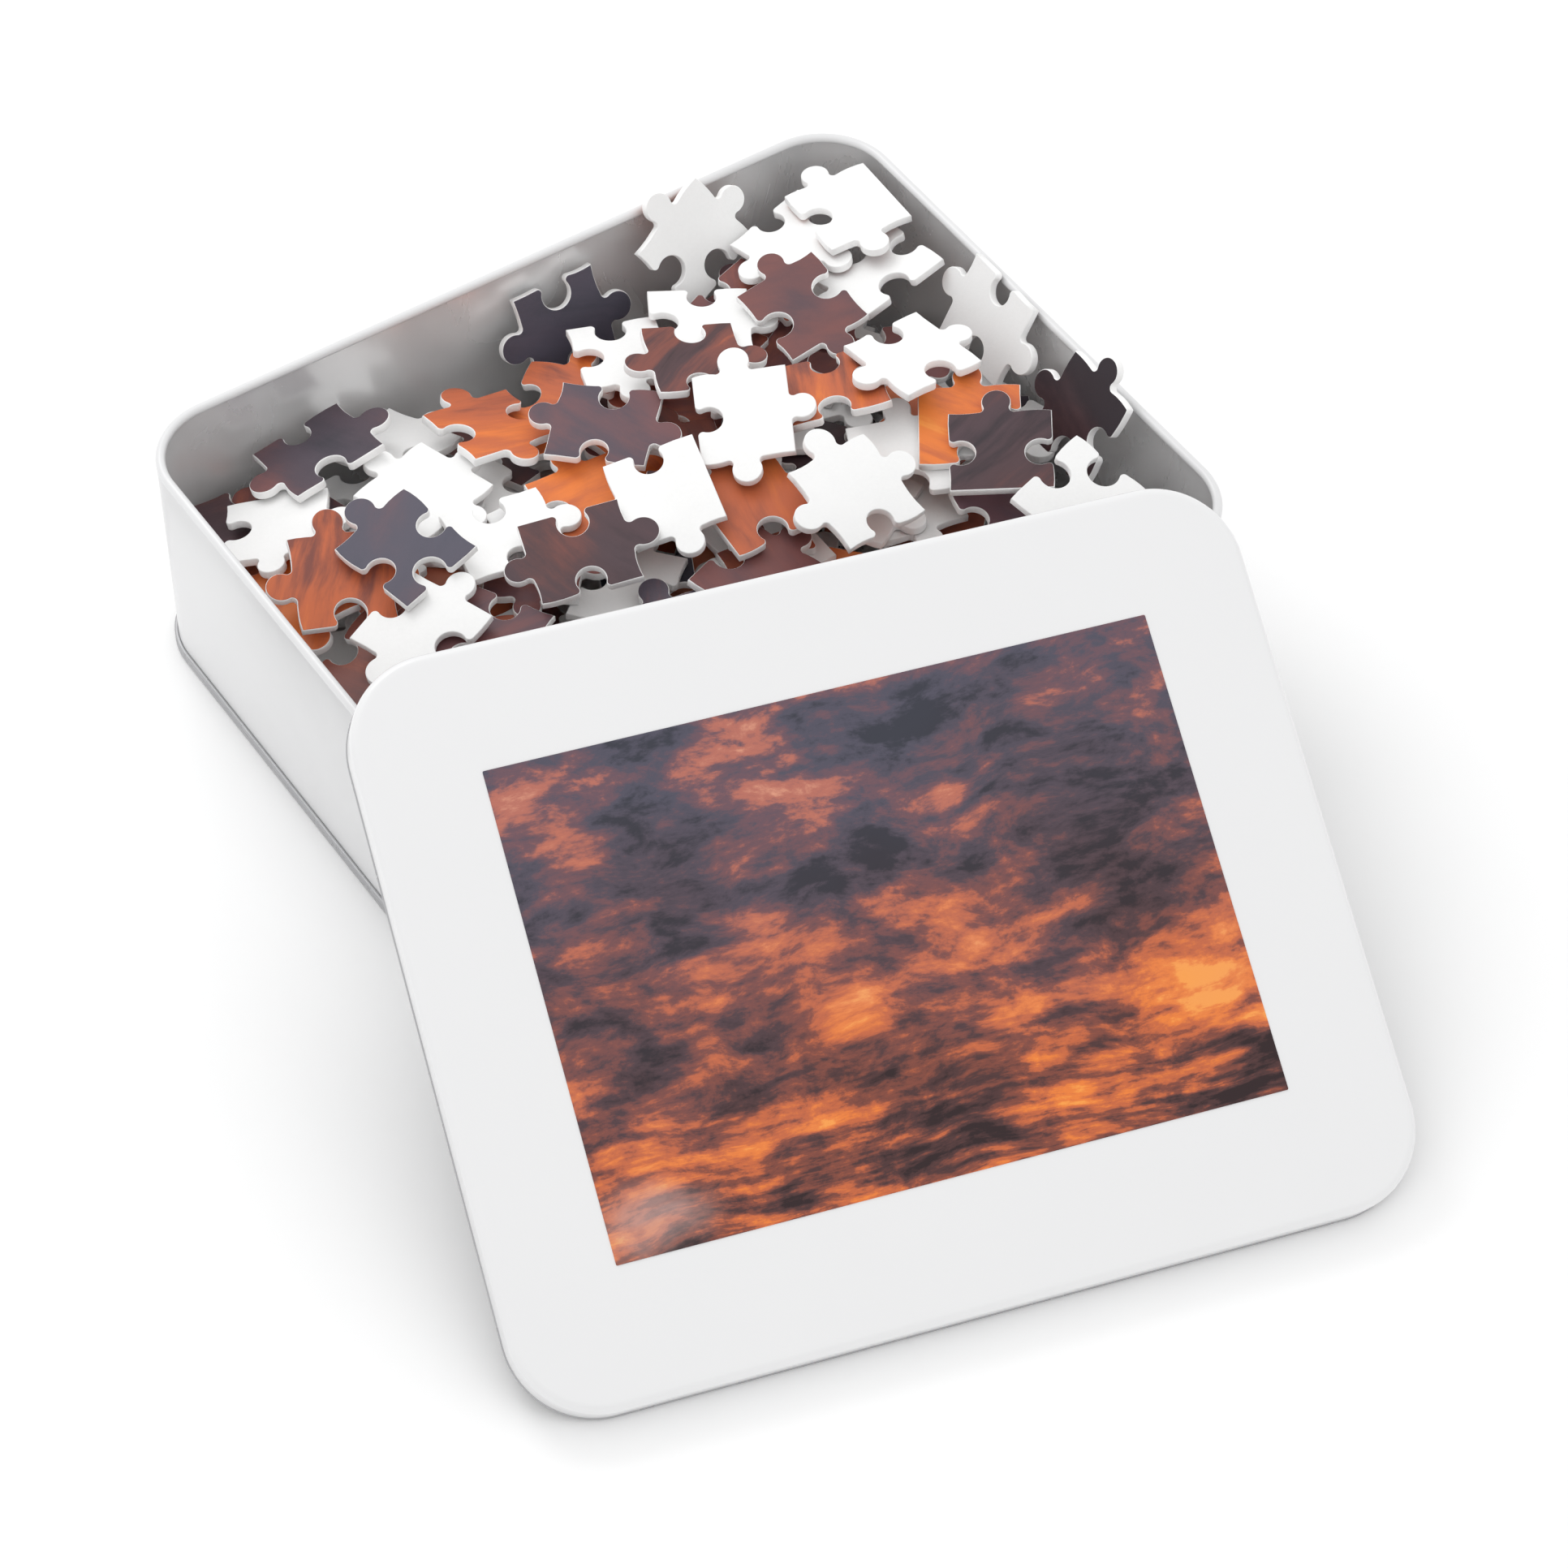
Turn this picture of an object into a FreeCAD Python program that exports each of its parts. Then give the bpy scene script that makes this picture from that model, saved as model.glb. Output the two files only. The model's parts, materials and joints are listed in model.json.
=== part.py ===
"""Boxed jigsaw puzzle: a steel tin heaped with 252 loose pieces, its lid leaning on it.

Units are millimetres. +Z is up and +X runs along the tin's long side. The origin is the
middle of the tin's underside, on the surface that the tin stands on.
"""
import FreeCAD, Part
import math
import os
import random
from FreeCAD import Vector

# ---------------------------------------------------------------- driving dimensions
# the tin
tin_length = 165.0          # outside of the wall, along X
tin_depth = 135.0           # outside of the wall, along Y
tin_height = 50.2           # to the top of the rolled rim
corner_radius = 15.3        # outside of the wall, seen from above
wall_sheet = 0.5            # tinplate of the wall
base_sheet = 0.5            # tinplate of the bottom
rim_roll = 0.95             # radius of the rolled rim, which turns inwards
rim_proud = 0.1             # how far the rolled rim stands out past the wall
seam_reach = 0.8            # how far the bottom seam stands out past the wall
seam_height = 2.4
seam_foot = 1.4             # how far the seam runs in under the wall
base_rise = 0.8             # underside of the bottom panel above the surface

# the lid
lid_clearance = 0.3         # between the tin's wall and the lid's skirt, each side
lid_height = 8.5
lid_sheet = 0.4
lid_edge_radius = 1.7       # outside, where the panel turns down into the skirt
lip_roll = 0.45             # radius of the rolled lip
lid_foot_x = -42.3          # middle of the lid's foot, where it stands on the surface
lid_foot_y = -157.9
lid_turn = -16.3            # degrees, the lid's foot against the tin's long side
lid_rest_gap = 0.25         # between the lid's panel and the rim that carries it
label_width = 123.6
label_height = 89.3
label_up = 0.4              # the label's middle above the panel's middle
label_sheet = 0.15

# the puzzle
columns = 18
rows = 14
piece_width = 19.8          # 14 inches over 18 columns
piece_height = 18.1         # 10 inches over 14 rows
board = 1.8                 # thickness of the board with its print
knob_reach = 5.3            # how far a knob stands out from its side
knob_radius = 2.9           # of the knob's round head
neck_fillet = 0.9           # radius where the knob's neck leaves the side
cut_wander = 0.9            # how far a knob may sit from the middle of its side
side_bow = 0.35             # how far a side bends between its corner and its knob
classic_share = 0.78        # of the sides that follow the classic alternating cut

# the heap
heap_seed = 11
heap_tries = 4              # places tried for each deep piece, the lowest is kept
buried_top = 26.0           # the buried pieces stay under this height where there is room
heap_gap = 0.15             # left between pieces that rest on each other
wall_gap = 0.5              # left between the pieces and the tin's wall
lid_gap = 1.0               # left between the pieces and the lid
cell = 1.0                  # spacing of the height field that the pieces rest on
steepest = 0.2              # the most that a buried piece slopes, as rise over run
laid_steepest = 0.25         # the same for a piece laid by hand
dome_drop = 9.0             # how much lower that top is along the wall
dome_band = 34.0            # how far in from the wall it rises to its full height
heap_patience = 40          # places tried before a buried piece may stand above that top
outline_step = 0.7          # spacing of the outline points that the height field uses
buried_layers = 5           # nodes for the buried pieces that show each side
straight_enough = 0.02      # a side bowed less than this is drawn straight


# a piece laid by hand: x, y, heading in degrees, its sides and the side that shows.
# sides run east, north, west, south as seen from above: T is a knob, B is a hole and
# F is straight. A piece that leans has its slopes along X and Y; the others settle.
laid_pieces = [
    # leaning on the walls
    (11, 62, 5, "TBTB", "print", 0.1, 1.9),
    (42, 62, 18, "TTBB", "back", -0.1, 1.6),
    (78, 7.5, 88, "TBTB", "back", 1.9, -0.1),
    (78, -27, 84, "TBBT", "print", 1.9, -0.1),
    # the lower ones, partly covered
    (-67, 56, -12, "BBTT", "print"),
    (-69, 6, 20, "TBTB", "print"),
    (-72, 29, 80, "TBTB", "print"),
    (-47, -3, 30, "BTBT", "print"),
    (-12, 15, -5, "BTBT", "print"),
    (-1, 43, 35, "TBTB", "print"),
    (8, 13, -15, "TTBB", "print"),
    (3, -19, 20, "TBTB", "print"),
    (34, -4, 40, "BTTB", "print"),
    (41, 42, 15, "TBTB", "print"),
    (56, 17, -25, "TBTB", "print"),
    (55, -6, 20, "BTBT", "print"),
    (52, -32, -15, "BTBT", "print"),
    # the middle ones
    (-35, 54, 20, "TTBB", "back"),
    (-65, 43, -30, "TTBT", "back"),
    (-63, 22, -22, "TTTB", "print"),
    (-38, 34, 18, "TTBT", "back"),
    (-32, 14, -10, "TBTB", "back"),
    (-18, 42, 2, "BTBT", "print"),
    (13, 43, -20, "TBBT", "back"),
    (26, 13, 60, "TBTB", "back"),
    (30, 41, -30, "TBBT", "back"),
    (66, 31, 5, "BBTB", "back"),
    (58, 48, 12, "BBTT", "back"),
    (11, -6, -3, "TTFB", "print"),
    (42, -12, -25, "TTTB", "back"),
    (55, -15, -35, "BTFB", "print"),
    # the upper ones
    (-49, 54, 2, "TBTB", "print"),
    (-57, 3, 20, "TBTB", "back"),
    (-51, 18, 12, "BTBB", "print"),
    (-2, 26, 45, "BTBT", "print"),
    (21, 29, -22, "TBTB", "print"),
    (69, 46, -6, "FTBT", "back"),
    (47, 30, 0, "BTBT", "print"),
    (38, 7, -20, "BBTB", "print"),
    (19, 9, -28, "TTBT", "back"),
    (54, 3, 4, "TBTB", "back"),
    (-3, 3, -14, "FBTT", "back"),
    (-24, 0, -18, "TBTB", "print"),
    (26, -18, 3, "TTTB", "back"),
    (55, -25, -35, "BTBF", "print"),
    (60, -43, 15, "BBTT", "back"),
]


# ---------------------------------------------------------------- the lid's stance
lid_width = tin_length + 2 * (lid_clearance + lid_sheet)        # outside of the skirt
lid_depth = tin_depth + 2 * (lid_clearance + lid_sheet)
lid_radius = corner_radius + lid_clearance + lid_sheet
lip_depth = lid_depth - lid_sheet                               # between the lip's centre lines
turn_cos = math.cos(math.radians(lid_turn))
turn_sin = math.sin(math.radians(lid_turn))


def up_slope(x, y):
    """How far a place lies behind the lid's foot, level and square to it."""
    return (y - lid_foot_y) * turn_cos - (x - lid_foot_x) * turn_sin


def lid_lean():
    """The lid's slope in radians when its panel rests on the nearest rounded corner of the rim."""
    corner_x = -(tin_length / 2 - corner_radius)
    corner_y = -(tin_depth / 2 - corner_radius)
    reach = up_slope(corner_x, corner_y) - (corner_radius - rim_roll)
    rise = tin_height - rim_roll - lip_roll
    over_lip = lid_height - lip_roll - lid_sheet - lid_rest_gap - rim_roll
    return math.acos(over_lip / math.hypot(reach, rise)) - math.atan2(reach, rise)


lean = lid_lean()


def lip_height(x, y):
    """Height of the lid's open side over a place, or None where the lid doesn't reach."""
    reach = up_slope(x, y)
    if not 0 < reach < lip_depth * math.cos(lean) + lid_gap:
        return None
    return lip_roll + reach * math.tan(lean)


# ---------------------------------------------------------------- the cut
def make_seams(chance):
    """Every line that the die cuts, each shared by the two pieces beside it.

    A classic cut alternates, so most pieces have two knobs facing and two holes between them.
    """
    seams = {}
    for column in range(columns + 1):
        for row in range(rows + 1):
            even = 1 if (column + row) % 2 == 0 else -1
            for run, classic in (("upright", even), ("level", -even)):
                seams[run, column, row] = {
                    "knob": classic if chance.random() < classic_share else -classic,
                    "shift": chance.uniform(-cut_wander, cut_wander),
                    "scale": chance.uniform(0.92, 1.1),
                    "bow": (chance.uniform(-side_bow, side_bow), chance.uniform(-side_bow, side_bow)),
                }
    return seams


def flip(seam):
    """The same seam seen from the piece on its other side."""
    if seam is None:
        return None
    return {"knob": -seam["knob"], "shift": -seam["shift"], "scale": seam["scale"],
            "bow": (seam["bow"][1], seam["bow"][0])}


def cell_sides(seams, column, row):
    """The seams round one piece, east, north, west and south, each seen from inside it."""
    east = seams["upright", column + 1, row] if column < columns - 1 else None
    north = seams["level", column, row + 1] if row < rows - 1 else None
    west = flip(seams["upright", column, row]) if column > 0 else None
    south = flip(seams["level", column, row]) if row > 0 else None
    return [east, north, west, south]


def side_letter(seam):
    if seam is None:
        return "F"
    return "T" if seam["knob"] > 0 else "B"


def side_arcs(length, seam):
    """One side as arcs (start, middle, end) from (0, 0) to (length, 0), the piece on its left."""
    if seam is None:
        return [((0.0, 0.0), None, (length, 0.0))]
    head = knob_radius * seam["scale"]
    reach = knob_reach * seam["scale"]
    rise = reach - head
    spread = math.sqrt((head + neck_fillet) ** 2 - (rise - neck_fillet) ** 2)
    centre = length / 2 + seam["shift"]
    slope = math.atan2(rise - neck_fillet, spread)
    foot = centre - spread
    bend = (slope - math.pi / 2) / 2

    def on_fillet(angle):
        return (foot + neck_fillet * math.cos(angle), neck_fillet + neck_fillet * math.sin(angle))

    def across(place):
        return (2 * centre - place[0], place[1])

    neck, crook = on_fillet(slope), on_fillet(bend)
    bow_near, bow_far = seam["bow"]
    far_foot = 2 * centre - foot
    arcs = [((0.0, 0.0), (foot / 2, bow_near), (foot, 0.0)),
            ((foot, 0.0), crook, neck),
            (neck, (centre, reach), across(neck)),
            (across(neck), across(crook), (far_foot, 0.0)),
            ((far_foot, 0.0), ((far_foot + length) / 2, bow_far), (length, 0.0))]
    side = -seam["knob"]
    return [tuple((x, y * side) for x, y in arc) for arc in arcs]


def outline_arcs(sides):
    """A piece's outline round its own middle, anticlockwise from its south-east corner."""
    half_width, half_height = piece_width / 2, piece_height / 2
    runs = (((half_width, -half_height), (0, 1), piece_height),
            ((half_width, half_height), (-1, 0), piece_width),
            ((-half_width, half_height), (0, -1), piece_height),
            ((-half_width, -half_height), (1, 0), piece_width))
    outline = []
    for seam, (corner, along, length) in zip(sides, runs):
        for arc in side_arcs(length, seam):
            outline.append(tuple(place and (corner[0] + place[0] * along[0] - place[1] * along[1],
                                            corner[1] + place[0] * along[1] + place[1] * along[0])
                                 for place in arc))
    return outline


def arc_points(start, middle, end, step):
    """Points along an arc through three places, without the last."""
    if middle is None:
        count = max(2, int(math.dist(start, end) / step))
        return [(start[0] + (end[0] - start[0]) * i / count, start[1] + (end[1] - start[1]) * i / count)
                for i in range(count)]
    (ax, ay), (bx, by), (cx, cy) = start, middle, end
    twice = 2 * (ax * (by - cy) + bx * (cy - ay) + cx * (ay - by))
    if abs(twice) < 1e-3:
        return arc_points(start, None, end, step)
    aa, bb, cc = ax * ax + ay * ay, bx * bx + by * by, cx * cx + cy * cy
    ox = (aa * (by - cy) + bb * (cy - ay) + cc * (ay - by)) / twice
    oy = (aa * (cx - bx) + bb * (ax - cx) + cc * (bx - ax)) / twice
    radius = math.dist((ox, oy), start)
    first = math.atan2(ay - oy, ax - ox)
    full = 2 * math.pi
    turn_middle = (math.atan2(by - oy, bx - ox) - first) % full
    sweep = (math.atan2(cy - oy, cx - ox) - first) % full
    if turn_middle > sweep:
        sweep -= full
    count = max(2, int(abs(sweep) * radius / step) + 1)
    return [(ox + radius * math.cos(first + sweep * i / count),
             oy + radius * math.sin(first + sweep * i / count)) for i in range(count)]


def outline_points(outline, step):
    points = []
    for arc in outline:
        points.extend(arc_points(*arc, step))
    return points


# ---------------------------------------------------------------- the heap
def axes(heading, slope_x, slope_y):
    """A piece's own directions: its heading, across it, and up through its upper face."""
    size = math.sqrt(1 + slope_x ** 2 + slope_y ** 2)
    up = (-slope_x / size, -slope_y / size, 1 / size)
    c, s = math.cos(math.radians(heading)), math.sin(math.radians(heading))
    rise = slope_x * c + slope_y * s
    size = math.sqrt(1 + rise ** 2)
    along = (c / size, s / size, rise / size)
    across = (up[1] * along[2] - up[2] * along[1], up[2] * along[0] - up[0] * along[2],
              up[0] * along[1] - up[1] * along[0])
    return along, across, up


class Pile:
    """The top of the heap as a field of heights, one for each small square of the tin."""

    def __init__(self):
        self.floor = base_rise + base_sheet + heap_gap
        self.half_x = tin_length / 2 - wall_sheet - wall_gap
        self.half_y = tin_depth / 2 - wall_sheet - wall_gap
        self.wide = int(2 * self.half_x / cell)
        self.deep = int(2 * self.half_y / cell)
        self.heights = [[self.floor] * self.wide for _ in range(self.deep)]

    def middle(self, i, j):
        return -self.half_x + (i + 0.5) * cell, -self.half_y + (j + 0.5) * cell

    def squares(self, points):
        """The squares that a closed outline covers or comes near."""
        found = set()
        rows_hit = {}
        near = (-0.2, 0.2)
        for k, (x, y) in enumerate(points):
            for dx in near:
                for dy in near:
                    found.add((int((x + dx + self.half_x) // cell), int((y + dy + self.half_y) // cell)))
            x2, y2 = points[(k + 1) % len(points)]
            low, high = (y, y2) if y < y2 else (y2, y)
            first = math.ceil((low + self.half_y) / cell - 0.5)
            last = math.ceil((high + self.half_y) / cell - 0.5)
            for j in range(first, last):
                at = -self.half_y + (j + 0.5) * cell
                rows_hit.setdefault(j, []).append(x + (x2 - x) * (at - y) / (y2 - y))
        for j, crossings in rows_hit.items():
            crossings.sort()
            for left, right in zip(crossings[::2], crossings[1::2]):
                start = int((left + self.half_x) // cell)
                for i in range(start, int((right + self.half_x) // cell) + 1):
                    found.add((i, j))
        return found

    def footprint(self, points, x, y, way):
        """The squares under a piece, from the outlines of its lower and upper faces."""
        along, across, up = way
        found = set()
        for lift in (0.0, board):
            flat = [(x + px * along[0] + py * across[0] + lift * up[0],
                     y + px * along[1] + py * across[1] + lift * up[1]) for px, py in points]
            found |= self.squares(flat)
        return found

    def inside(self, found):
        """Whether every square lies inside the wall, rounded corners and all."""
        radius = corner_radius - wall_sheet - wall_gap
        for i, j in found:
            if not (0 <= i < self.wide and 0 <= j < self.deep):
                return False
            x, y = self.middle(i, j)
            dx = abs(x) - (self.half_x - radius)
            dy = abs(y) - (self.half_y - radius)
            if dx > 0 and dy > 0 and math.hypot(dx, dy) > radius - 0.4 * cell:
                return False
        return True

    def settle(self, points, x, y, heading, most):
        """The slopes at which a piece rests when its middle is as low as it can be."""
        found = self.footprint(points, x, y, axes(heading, 0.0, 0.0))
        if not self.inside(found):
            return None
        spots = []
        for i, j in found:
            mx, my = self.middle(i, j)
            spots.append((mx - x, my - y, self.heights[j][i]))
        slope_x = slope_y = 0.0
        best = None
        for turn in range(60):
            height, dx, dy = max((h - slope_x * u - slope_y * v, u, v) for u, v, h in spots)
            if best is None or height < best[0]:
                best = (height, slope_x, slope_y)
            size = math.hypot(dx, dy)
            if size < 0.5:
                break
            step = 0.12 / (1 + 0.35 * turn)
            slope_x += step * dx / size
            slope_y += step * dy / size
            tilt = math.hypot(slope_x, slope_y)
            if tilt > most:
                slope_x *= most / tilt
                slope_y *= most / tilt
        return best[1], best[2]

    def rest(self, points, x, y, heading, most, slopes=None):
        """The pose of a piece let down at a place, or None where it would cut the wall or lid."""
        slopes = slopes or self.settle(points, x, y, heading, most)
        if slopes is None:
            return None
        slope_x, slope_y = slopes
        way = axes(heading, slope_x, slope_y)
        found = self.footprint(points, x, y, way)
        if not self.inside(found):
            return None
        slack = (abs(slope_x) + abs(slope_y)) * cell / 2
        height = -1.0
        for i, j in found:
            mx, my = self.middle(i, j)
            height = max(height, self.heights[j][i] - slope_x * (mx - x) - slope_y * (my - y))
        height += slack + heap_gap
        thick = board / way[2][2]
        tops = []
        for i, j in found:
            mx, my = self.middle(i, j)
            top = height + thick + slope_x * (mx - x) + slope_y * (my - y) + slack
            lid_over = lip_height(mx, my)
            if lid_over is not None and top + lid_gap > lid_over:
                return None
            tops.append((top, i, j))
        return {"x": x, "y": y, "z": height, "way": way, "tops": tops, "peak": max(tops)[0]}

    def add(self, pose):
        for top, i, j in pose["tops"]:
            self.heights[j][i] = max(self.heights[j][i], top)


def seen_sides(sides, shows):
    """A piece's sides as seen from above: one that shows its back is seen mirrored."""
    return [sides[2], sides[1], sides[0], sides[3]] if shows == "back" else list(sides)


def take_cell(free, seams, wanted, shows):
    """The next unused piece of the cut whose sides match, and the quarter turns that match them."""
    for cell_place in free:
        sides = cell_sides(seams, *cell_place)
        letters = [side_letter(side) for side in seen_sides(sides, shows)]
        for turns in range(4):
            if "".join(letters[turns:] + letters[:turns]) == wanted:
                free.remove(cell_place)
                return sides, turns
    raise ValueError("no piece of the cut is left with sides " + wanted)


def seen_points(sides, shows):
    points = outline_points(outline_arcs(sides), outline_step)
    if shows == "back":
        points = [(-x, y) for x, y in reversed(points)]
    return points


def lay(pile, entry, sides, turns):
    """Let one hand-laid piece down, nudged towards the middle until it clears the wall."""
    x, y, heading, wanted, shows = entry[:5]
    slopes = entry[5:] or None
    points = seen_points(sides, shows)
    heading -= 90 * turns
    for nudge in range(60):
        pose = pile.rest(points, x, y, heading, laid_steepest, slopes)
        if pose:
            pile.add(pose)
            return {"sides": sides, "shows": shows, "pose": pose}
        shrink = 1 - 0.5 / math.hypot(x, y)
        x, y = x * shrink, y * shrink
    raise ValueError("no room for the piece at %g, %g" % entry[:2])


def dome(pile, x, y):
    """The height that the buried pieces stay under at a place: less along the wall."""
    inwards = min(pile.half_x - abs(x), pile.half_y - abs(y))
    return buried_top - dome_drop * max(0.0, 1 - inwards / dome_band)


def bury(pile, chance, sides):
    """Let a buried piece down at the lowest of a few places, all under the buried heap's top."""
    shows = chance.choice(("print", "back"))
    points = seen_points(sides, shows)
    best = None
    tried = 0
    for attempt in range(heap_patience):
        x = chance.uniform(-pile.half_x, pile.half_x)
        y = chance.uniform(-pile.half_y, pile.half_y)
        pose = pile.rest(points, x, y, chance.uniform(0, 360), steepest)
        if pose is None:
            continue
        pose["over"] = pose["peak"] - dome(pile, x, y)
        if best is None or pose["over"] < best["over"]:
            best = pose
        tried += pose["over"] < 0
        if tried == heap_tries:
            break
    pile.add(best)
    return {"sides": sides, "shows": shows, "pose": best}


def lay_heap():
    """All 252 pieces, from the bottom up: the buried ones by chance, then the ones laid by hand."""
    chance = random.Random(heap_seed)
    seams = make_seams(chance)
    free = [(column, row) for row in range(rows) for column in range(columns)]
    chance.shuffle(free)
    chosen = [take_cell(free, seams, entry[3], entry[4]) for entry in laid_pieces]
    pile = Pile()
    heap = [bury(pile, chance, cell_sides(seams, *place)) for place in free]
    for number, (entry, (sides, turns)) in enumerate(zip(laid_pieces, chosen), start=1):
        piece = lay(pile, entry, sides, turns)
        piece["number"] = number
        heap.append(piece)
    return heap


# ---------------------------------------------------------------- the tin
def rounded_wire(length, depth, radius, height):
    """A level rectangle with rounded corners, centred on the origin."""
    x, y = length / 2, depth / 2
    inset = radius * (1 - math.sqrt(0.5))
    edges = []
    last = None
    for sx, sy in ((1, -1), (1, 1), (-1, 1), (-1, -1)):
        on_side = Vector(sx * x, sy * (y - radius), height)
        on_end = Vector(sx * (x - radius), sy * y, height)
        middle = Vector(sx * (x - inset), sy * (y - inset), height)
        first, final = (on_side, on_end) if sx * sy > 0 else (on_end, on_side)
        if last is not None:
            edges.append(Part.LineSegment(last, first).toShape())
        edges.append(Part.Arc(first, middle, final).toShape())
        last = final
    edges.append(Part.LineSegment(last, edges[0].valueAt(edges[0].FirstParameter)).toShape())
    return Part.Wire(edges)


def rounded_block(length, depth, radius, bottom, height):
    face = Part.Face(rounded_wire(length, depth, radius, bottom))
    return face.extrude(Vector(0, 0, height))


def rounded_ring(length, depth, radius, thickness, bottom, height):
    """An upright wall round a rounded rectangle, its outside at the given size."""
    outside = rounded_block(length, depth, radius, bottom, height)
    inside = rounded_block(length - 2 * thickness, depth - 2 * thickness, radius - thickness,
                           bottom - 1, height + 2)
    return outside.cut(inside)


def rolled_edge(length, depth, radius, roll, height):
    """A round bead whose centre line is a rounded rectangle."""
    path = rounded_wire(length, depth, radius, height)
    start = path.Edges[0].valueAt(path.Edges[0].FirstParameter)
    along = path.Edges[0].tangentAt(path.Edges[0].FirstParameter)
    section = Part.Wire(Part.makeCircle(roll, start, along))
    return path.makePipeShell([section], True, False)


def edges_at(shape, height):
    """The edges that lie level at one height."""
    return [edge for edge in shape.Edges
            if abs(edge.BoundBox.ZMin - height) < 1e-4 and abs(edge.BoundBox.ZMax - height) < 1e-4]


def tin_wall():
    bottom = base_rise + base_sheet
    wall = rounded_ring(tin_length, tin_depth, corner_radius, wall_sheet, bottom,
                        tin_height - rim_roll - bottom)
    inset = rim_roll - rim_proud
    rim = rolled_edge(tin_length - 2 * inset, tin_depth - 2 * inset, corner_radius - inset,
                      rim_roll, tin_height - rim_roll)
    return wall.fuse(rim)


def tin_base():
    """The bottom panel and the folded seam that holds it to the wall."""
    length, depth = tin_length + 2 * seam_reach, tin_depth + 2 * seam_reach
    block = rounded_block(length, depth, corner_radius + seam_reach, 0, seam_height)
    block = block.makeFillet(0.7 * seam_reach, edges_at(block, 0) + edges_at(block, seam_height))
    above = rounded_block(tin_length, tin_depth, corner_radius, base_rise + base_sheet, seam_height)
    below = rounded_block(tin_length - 2 * seam_foot, tin_depth - 2 * seam_foot,
                          corner_radius - seam_foot, -1, 1 + base_rise)
    return block.cut(above).cut(below)


# ---------------------------------------------------------------- the lid
def leaned(shape):
    """A piece of the lid, drawn over the middle of its foot, set leaning on the tin."""
    shape = shape.copy()
    shape.translate(Vector(0, lip_depth / 2, 0))
    shape.rotate(Vector(0, 0, 0), Vector(1, 0, 0), math.degrees(lean))
    shape.rotate(Vector(0, 0, 0), Vector(0, 0, 1), lid_turn)
    shape.translate(Vector(lid_foot_x, lid_foot_y, lip_roll))
    return shape


def lid_pan():
    """One pressed sheet: panel, skirt and rolled lip. Its lip's centre line is at height 0."""
    top = lid_height - lip_roll
    outside = rounded_block(lid_width, lid_depth, lid_radius, 0, top)
    outside = outside.makeFillet(lid_edge_radius, edges_at(outside, top))
    inside = rounded_block(lid_width - 2 * lid_sheet, lid_depth - 2 * lid_sheet,
                           lid_radius - lid_sheet, -1, top - lid_sheet + 1)
    inside = inside.makeFillet(lid_edge_radius - lid_sheet, edges_at(inside, top - lid_sheet))
    lip = rolled_edge(lid_width - lid_sheet, lid_depth - lid_sheet, lid_radius - lid_sheet / 2,
                      lip_roll, 0)
    return leaned(outside.cut(inside).fuse(lip))


def lid_label():
    """The printed sheet on the lid's panel."""
    corner = Vector(-label_width / 2, label_up - label_height / 2, lid_height - lip_roll)
    return leaned(Part.makeBox(label_width, label_height, label_sheet, corner))


# ---------------------------------------------------------------- the puzzle pieces
def piece_solid(piece):
    """A piece of the cut, set into the heap. Its print is on the side away from its local zero."""
    edges = []
    for start, middle, end in outline_arcs(piece["sides"]):
        first, last = Vector(*start, 0), Vector(*end, 0)
        if middle is None or middle_offset(start, middle, end) < straight_enough:
            edges.append(Part.LineSegment(first, last).toShape())
        else:
            edges.append(Part.Arc(first, Vector(*middle, 0), last).toShape())
    solid = Part.Face(Part.Wire(edges)).extrude(Vector(0, 0, board))
    pose = piece["pose"]
    along, across, up = (Vector(*way) for way in pose["way"])
    base = Vector(pose["x"], pose["y"], pose["z"])
    if piece["shows"] == "back":
        base = base + up * board
        along = along * -1
        up = up * -1
    solid.Placement = FreeCAD.Placement(FreeCAD.Matrix(
        along.x, across.x, up.x, base.x,
        along.y, across.y, up.y, base.y,
        along.z, across.z, up.z, base.z,
        0, 0, 0, 1))
    return solid


def middle_offset(start, middle, end):
    """How far an arc's middle stands off the straight line between its ends."""
    length = math.dist(start, end)
    area = (end[0] - start[0]) * (middle[1] - start[1]) - (end[1] - start[1]) * (middle[0] - start[0])
    return abs(area) / length


def puzzle_nodes():
    """The laid pieces one to a node, and the buried ones in layers of the same showing side."""
    heap = lay_heap()
    nodes = {}
    laid = [piece for piece in heap if "number" in piece]
    for piece in laid:
        name = "piece_%02d_%s_up" % (piece["number"], piece["shows"])
        nodes[name] = piece_solid(piece)
    for shows in ("print", "back"):
        buried = [piece for piece in heap if "number" not in piece and piece["shows"] == shows]
        buried.sort(key=lambda piece: piece["pose"]["z"])
        share = math.ceil(len(buried) / buried_layers)
        for layer in range(buried_layers):
            group = buried[layer * share:(layer + 1) * share]
            name = "buried_layer_%d_%s_up" % (layer + 1, shows)
            nodes[name] = Part.makeCompound([piece_solid(piece) for piece in group])
    return nodes


# ---------------------------------------------------------------- writing the nodes
os.makedirs("parts", exist_ok=True)
nodes = {"tin_wall": tin_wall(), "tin_base": tin_base(), "lid_pan": lid_pan(), "lid_label": lid_label()}
nodes.update(puzzle_nodes())
for name, shape in nodes.items():
    shape.exportStep("parts/" + name + ".step")
print("%d nodes, lid leaning %.2f degrees" % (len(nodes), math.degrees(lean)))
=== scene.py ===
import json
import math
import random

import bmesh
import bpy
from mathutils import Euler, Matrix, Vector

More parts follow.
